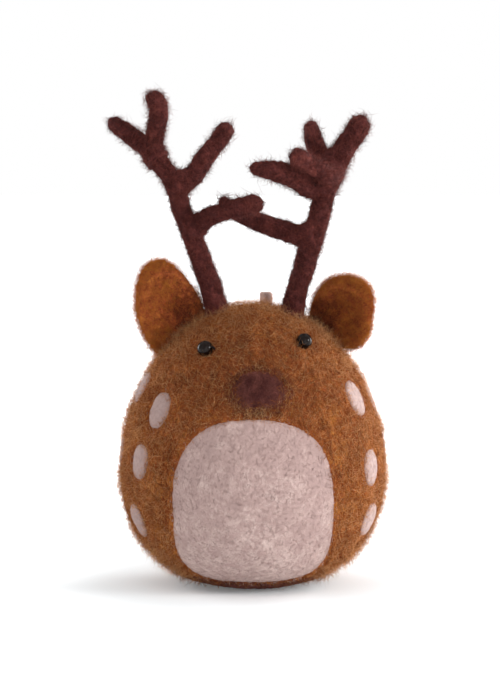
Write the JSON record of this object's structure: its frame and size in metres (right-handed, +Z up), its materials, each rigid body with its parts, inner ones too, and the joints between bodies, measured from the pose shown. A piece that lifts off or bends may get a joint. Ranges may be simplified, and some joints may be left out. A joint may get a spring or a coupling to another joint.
{
  "type": "felt christmas ornament",
  "caption": "Round needle-felted wool deer ornament with wired antlers, cupped ears, bead eyes, belly patch, side spots and a cord loop to hang it by.",
  "frame": {"origin": "centre of the small flat foot, under the axis of the round body, on the surface it stands on", "axes": "+Z up through the crown, the face looks along -Y, +X to the right as seen from the front"},
  "size_m": [0.0698, 0.0681, 0.1231],
  "materials": {
    "tan_wool": "matte",
    "pale_wool": "matte",
    "dark_wool": "matte",
    "nose_wool": "matte",
    "core_wool": "matte",
    "cotton_cord": "matte",
    "black_thread": "satin",
    "black_bead": "gloss",
    "steel_wire": "satin"
  },
  "bodies": {
    "root": {"core_ball": "core_wool", "felt_skin": "tan_wool", "belly_patch": "pale_wool", "nose_pad": "nose_wool", "ear_left": "tan_wool", "ear_right": "tan_wool", "eye_left": "black_bead", "eye_right": "black_bead", "eye_thread": "black_thread", "antler_left_beam": "dark_wool", "antler_left_beam_wire": "steel_wire", "antler_left_tine_outer": "dark_wool", "antler_left_tine_outer_wire": "steel_wire", "antler_left_tine_inner": "dark_wool", "antler_left_tine_inner_wire": "steel_wire", "antler_left_tine_brow": "dark_wool", "antler_left_tine_brow_wire": "steel_wire", "antler_right_beam": "dark_wool", "antler_right_beam_wire": "steel_wire", "antler_right_tine_fore": "dark_wool", "antler_right_tine_fore_wire": "steel_wire", "antler_right_tine_front": "dark_wool", "antler_right_tine_front_wire": "steel_wire", "antler_right_tine_upper": "dark_wool", "antler_right_tine_upper_wire": "steel_wire", "antler_right_tine_brow": "dark_wool", "antler_right_tine_brow_wire": "steel_wire", "spot_left_1": "pale_wool", "spot_left_2": "pale_wool", "spot_left_3": "pale_wool", "spot_left_4": "pale_wool", "spot_left_5": "pale_wool", "spot_left_6": "pale_wool", "spot_left_7": "pale_wool", "spot_left_8": "pale_wool", "spot_left_9": "pale_wool", "spot_left_10": "pale_wool", "spot_left_11": "pale_wool", "spot_left_12": "pale_wool", "spot_right_1": "pale_wool", "spot_right_2": "pale_wool", "spot_right_3": "pale_wool", "spot_right_4": "pale_wool", "spot_right_5": "pale_wool", "spot_right_6": "pale_wool", "spot_right_7": "pale_wool", "spot_right_8": "pale_wool", "spot_right_9": "pale_wool", "spot_right_10": "pale_wool", "spot_right_11": "pale_wool", "spot_right_12": "pale_wool", "hang_loop": "cotton_cord", "loop_anchor": "cotton_cord"}
  },
  "joints": []
}
